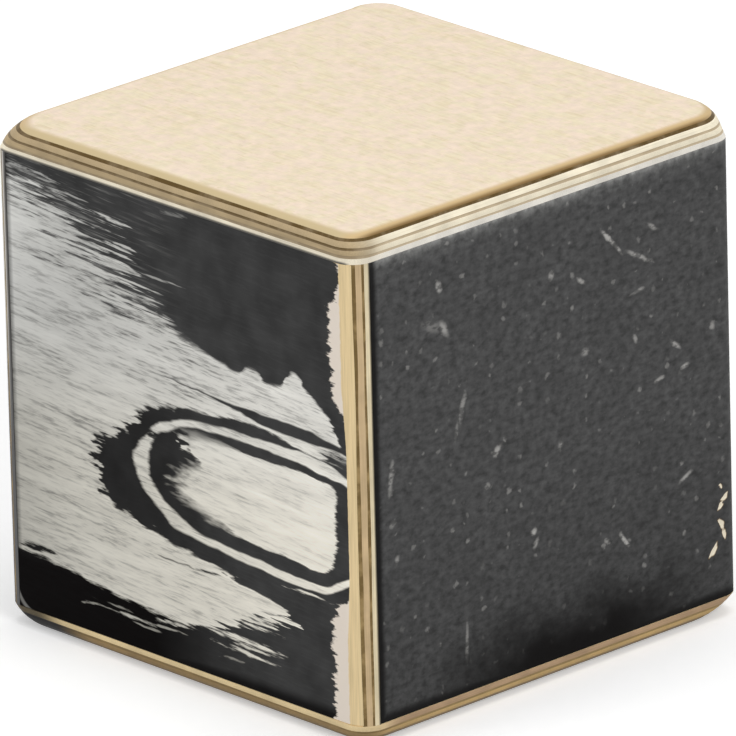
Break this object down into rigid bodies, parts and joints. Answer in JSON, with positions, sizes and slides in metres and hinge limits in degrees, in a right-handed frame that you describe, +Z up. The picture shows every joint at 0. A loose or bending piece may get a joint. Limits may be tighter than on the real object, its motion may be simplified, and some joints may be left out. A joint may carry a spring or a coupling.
{
  "type": "percussion shaker",
  "caption": "Cube-shaped hand shaker: a sealed box of birch plywood with lapped corners and layered edges, holding loose steel shot that rattles when it is shaken.",
  "frame": {"origin": "middle of the underside, on the surface that the box stands on", "axes": "+Z up through the top plate, +X towards the black right-hand panel, -Y towards the figured front panel"},
  "size_m": [0.065, 0.065, 0.066],
  "materials": {
    "birch_face": "sanded birch veneer, clear matt oil",
    "birch_ply": "sanded birch ply edge",
    "birch_pale": "sanded pale birch ply edge",
    "glue_line": "cured brown resin glue",
    "figured_coat": "birch veneer with black and white coats sanded through to a grain figure",
    "black_coat": "birch veneer with a scuffed matt black coat",
    "steel_shot": "tumbled steel balls"
  },
  "bodies": {
    "case": {"top_face_veneer": "birch_face", "top_crossband": "birch_ply", "top_core_ply": "birch_ply", "top_backing_ply": "birch_pale", "top_glue_lines": "glue_line", "bottom_face_veneer": "birch_face", "bottom_core_ply": "birch_ply", "bottom_inner_veneer": "birch_ply", "bottom_glue_lines": "glue_line", "front_face_veneer": "figured_coat", "front_core_ply": "birch_ply", "front_inner_veneer": "birch_ply", "front_glue_lines": "glue_line", "right_face_veneer": "black_coat", "right_core_ply": "birch_ply", "right_inner_veneer": "birch_ply", "right_glue_lines": "glue_line", "back_face_veneer": "figured_coat", "back_core_ply": "birch_ply", "back_inner_veneer": "birch_ply", "back_glue_lines": "glue_line", "left_face_veneer": "black_coat", "left_core_ply": "birch_ply", "left_inner_veneer": "birch_ply", "left_glue_lines": "glue_line"},
    "shot_row_1": {"shot_row_1": "steel_shot"},
    "shot_hop_1": {"shot_hop_1": "steel_shot"},
    "shot_row_2": {"shot_row_2": "steel_shot"},
    "shot_hop_2": {"shot_hop_2": "steel_shot"},
    "shot_row_3": {"shot_row_3": "steel_shot"},
    "shot_hop_3": {"shot_hop_3": "steel_shot"},
    "shot_row_4": {"shot_row_4": "steel_shot"},
    "shot_hop_4": {"shot_hop_4": "steel_shot"},
    "shot_row_5": {"shot_row_5": "steel_shot"},
    "shot_hop_5": {"shot_hop_5": "steel_shot"},
    "shot_row_6": {"shot_row_6": "steel_shot"},
    "shot_hop_6": {"shot_hop_6": "steel_shot"},
    "shot_row_7": {"shot_row_7": "steel_shot"},
    "shot_hop_7": {"shot_hop_7": "steel_shot"},
    "shot_row_8": {"shot_row_8": "steel_shot"},
    "shot_hop_8": {"shot_hop_8": "steel_shot"}
  },
  "joints": [
    {"name": "shot_fore_aft", "type": "slide", "parent": "case", "child": "shot_row_1", "axis": [0, 1, 0], "range_m": [-0.0114, 0.0114]},
    {"name": "row_2_sideways", "type": "slide", "parent": "shot_row_1", "child": "shot_row_2", "axis": [1, 0, 0], "range_m": [-0.00551, 0.02189]},
    {"name": "row_3_sideways", "type": "slide", "parent": "shot_row_1", "child": "shot_row_3", "axis": [1, 0, 0], "range_m": [-0.02022, 0.00718]},
    {"name": "row_4_sideways", "type": "slide", "parent": "shot_row_1", "child": "shot_row_4", "axis": [1, 0, 0], "range_m": [-0.01227, 0.01513]},
    {"name": "row_5_sideways", "type": "slide", "parent": "shot_row_1", "child": "shot_row_5", "axis": [1, 0, 0], "range_m": [-0.00928, 0.01812]},
    {"name": "row_6_sideways", "type": "slide", "parent": "shot_row_1", "child": "shot_row_6", "axis": [1, 0, 0], "range_m": [-0.02164, 0.00576]},
    {"name": "row_7_sideways", "type": "slide", "parent": "shot_row_1", "child": "shot_row_7", "axis": [1, 0, 0], "range_m": [-0.00641, 0.02099]},
    {"name": "row_8_sideways", "type": "slide", "parent": "shot_row_1", "child": "shot_row_8", "axis": [1, 0, 0], "range_m": [-0.01651, 0.01089]},
    {"name": "row_1_hop", "type": "slide", "parent": "shot_row_1", "child": "shot_hop_1", "axis": [0, 0, 1], "range_m": [0, 0.0553]},
    {"name": "row_2_hop", "type": "slide", "parent": "shot_row_2", "child": "shot_hop_2", "axis": [0, 0, 1], "range_m": [0, 0.0553]},
    {"name": "row_3_hop", "type": "slide", "parent": "shot_row_3", "child": "shot_hop_3", "axis": [0, 0, 1], "range_m": [0, 0.0553]},
    {"name": "row_4_hop", "type": "slide", "parent": "shot_row_4", "child": "shot_hop_4", "axis": [0, 0, 1], "range_m": [0, 0.0553]},
    {"name": "row_5_hop", "type": "slide", "parent": "shot_row_5", "child": "shot_hop_5", "axis": [0, 0, 1], "range_m": [0, 0.0553]},
    {"name": "row_6_hop", "type": "slide", "parent": "shot_row_6", "child": "shot_hop_6", "axis": [0, 0, 1], "range_m": [0, 0.0553]},
    {"name": "row_7_hop", "type": "slide", "parent": "shot_row_7", "child": "shot_hop_7", "axis": [0, 0, 1], "range_m": [0, 0.0553]},
    {"name": "row_8_hop", "type": "slide", "parent": "shot_row_8", "child": "shot_hop_8", "axis": [0, 0, 1], "range_m": [0, 0.0553]}
  ]
}
